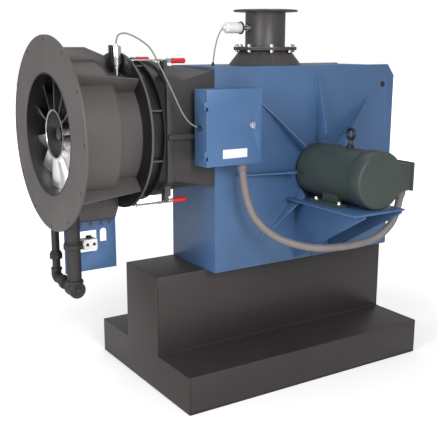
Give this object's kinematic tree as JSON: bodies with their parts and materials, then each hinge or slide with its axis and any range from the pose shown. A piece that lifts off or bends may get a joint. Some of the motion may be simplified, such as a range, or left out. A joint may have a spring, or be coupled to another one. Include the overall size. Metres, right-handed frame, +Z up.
{
  "type": "gas burner",
  "caption": "Package gas burner on a skid: flanged register head with swirl vanes, toggle-clamped duct, ribbed fan housing, side motor, control box and flanged air stack.",
  "frame": {"origin": "floor level, on the burner's vertical centre plane, at the middle of the skid's length", "axes": "+X from the burner mouth to the rear of the fan housing, -Y to the motor side, +Z up"},
  "size_m": [2.1761, 1.4, 2.09],
  "materials": {
    "skid_paint": "dark brown-grey satin paint on folded steel",
    "blue_paint": "semi-gloss blue machine paint",
    "box_blue": "lighter blue smooth enclosure paint",
    "motor_paint": "dark green-grey motor enamel",
    "core_steel": "bare machined steel",
    "bolt_steel": "bright zinc-plated steel",
    "fan_steel": "grey primed steel",
    "fan_plastic": "black moulded plastic",
    "head_paint": "warm grey heat-resistant paint",
    "duct_paint": "dark grey satin paint",
    "black_paint": "black satin paint",
    "vane_alu": "bright formed sheet",
    "gas_iron": "dark grey painted pipe and malleable iron",
    "white_plastic": "off-white moulded housing",
    "grey_cable": "grey sheathed cable",
    "conduit_grey": "warm grey jacketed flexible conduit",
    "clamp_steel": "zinc-plated steel",
    "grip_red": "red dipped grip on a steel lever"
  },
  "bodies": {
    "frame": {"plinth_floor_plate": "skid_paint", "plinth_step_shell": "skid_paint", "plinth_column_shell": "skid_paint", "plinth_end_plates": "skid_paint", "fan_front_plate": "blue_paint", "fan_back_plate": "blue_paint", "fan_wrapper": "blue_paint", "front_plate_ribs": "blue_paint", "fan_inlet_cone": "blue_paint", "motor_frame": "motor_paint", "motor_end_bells": "motor_paint", "motor_fan_cover": "motor_paint", "stator_core": "core_steel", "motor_bearings": "core_steel", "motor_eye_bolt": "motor_paint", "terminal_box": "motor_paint", "motor_shelf": "blue_paint", "shelf_gussets": "blue_paint", "hex_bolts": "bolt_steel", "inlet_hood": "duct_paint", "stack_pipe": "duct_paint", "stack_sensor": "white_plastic", "sensor_cable": "grey_cable", "transition_duct": "duct_paint", "duct_frame": "duct_paint", "mounting_flange": "head_paint", "front_drum": "head_paint", "throat_sleeve": "head_paint", "rear_drum": "head_paint", "ring_plate": "head_paint", "casing_drum": "black_paint", "tie_rods": "bolt_steel", "head_gussets": "head_paint", "gas_bracket_plate": "blue_paint", "swirl_hub": "bolt_steel", "swirl_vanes": "vane_alu", "gas_lance": "gas_iron", "gas_pipes": "gas_iron", "pipe_fittings": "gas_iron", "pressure_switch": "white_plastic", "flame_scanner": "bolt_steel", "scanner_cable": "grey_cable", "control_box": "box_blue", "box_brackets": "box_blue", "conduit": "conduit_grey", "clamp_bases": "clamp_steel"},
    "rotor": {"impeller": "fan_steel", "fan_shaft": "core_steel", "cooling_fan": "fan_plastic"},
    "control_door": {"control_door": "box_blue"},
    "door_latch": {"door_latch": "bolt_steel"},
    "clamp_lever_a": {"clamp_lever_a": "grip_red"},
    "clamp_bow_a": {"clamp_bow_a": "clamp_steel"},
    "clamp_lever_b": {"clamp_lever_b": "grip_red"},
    "clamp_bow_b": {"clamp_bow_b": "clamp_steel"},
    "clamp_lever_c": {"clamp_lever_c": "grip_red"},
    "clamp_bow_c": {"clamp_bow_c": "clamp_steel"},
    "clamp_lever_d": {"clamp_lever_d": "grip_red"},
    "clamp_bow_d": {"clamp_bow_d": "clamp_steel"}
  },
  "joints": [
    {"name": "fan_spin", "type": "hinge", "parent": "frame", "child": "rotor", "pos_m": [0.176, 0, 1.2], "axis": [0, 1, 0], "continuous": true},
    {"name": "control_door_hinge", "type": "hinge", "parent": "frame", "child": "control_door", "pos_m": [-0.672, -0.395, 1.485], "axis": [0, 0, -1], "range_deg": [0, 120]},
    {"name": "door_latch_turn", "type": "hinge", "parent": "control_door", "child": "door_latch", "pos_m": [-0.386, -0.4, 1.492], "axis": [0, -1, 0], "range_deg": [0, 90]},
    {"name": "clamp_lever_a_hinge", "type": "hinge", "parent": "frame", "child": "clamp_lever_a", "pos_m": [-0.8, -0.2, 1.814], "axis": [0, -1, 0], "range_deg": [0, 110]},
    {"name": "clamp_bow_a_hinge", "type": "hinge", "parent": "clamp_lever_a", "child": "clamp_bow_a", "pos_m": [-0.772, -0.2, 1.824], "axis": [0, -1, 0], "range_deg": [-110, 0]},
    {"name": "clamp_lever_b_hinge", "type": "hinge", "parent": "frame", "child": "clamp_lever_b", "pos_m": [-0.8, 0.2, 1.814], "axis": [0, -1, 0], "range_deg": [0, 110]},
    {"name": "clamp_bow_b_hinge", "type": "hinge", "parent": "clamp_lever_b", "child": "clamp_bow_b", "pos_m": [-0.772, 0.2, 1.824], "axis": [0, -1, 0], "range_deg": [-110, 0]},
    {"name": "clamp_lever_c_hinge", "type": "hinge", "parent": "frame", "child": "clamp_lever_c", "pos_m": [-0.8, -0.2, 1.104], "axis": [0, 1, 0], "range_deg": [0, 110]},
    {"name": "clamp_bow_c_hinge", "type": "hinge", "parent": "clamp_lever_c", "child": "clamp_bow_c", "pos_m": [-0.772, -0.2, 1.094], "axis": [0, 1, 0], "range_deg": [-110, 0]},
    {"name": "clamp_lever_d_hinge", "type": "hinge", "parent": "frame", "child": "clamp_lever_d", "pos_m": [-0.8, 0.2, 1.104], "axis": [0, 1, 0], "range_deg": [0, 110]},
    {"name": "clamp_bow_d_hinge", "type": "hinge", "parent": "clamp_lever_d", "child": "clamp_bow_d", "pos_m": [-0.772, 0.2, 1.094], "axis": [0, 1, 0], "range_deg": [-110, 0]}
  ],
  "couplings": [
    {"joint": "clamp_bow_a_hinge", "follows": "clamp_lever_a_hinge", "ratio": -1},
    {"joint": "clamp_bow_b_hinge", "follows": "clamp_lever_b_hinge", "ratio": -1},
    {"joint": "clamp_bow_c_hinge", "follows": "clamp_lever_c_hinge", "ratio": -1},
    {"joint": "clamp_bow_d_hinge", "follows": "clamp_lever_d_hinge", "ratio": -1}
  ]
}
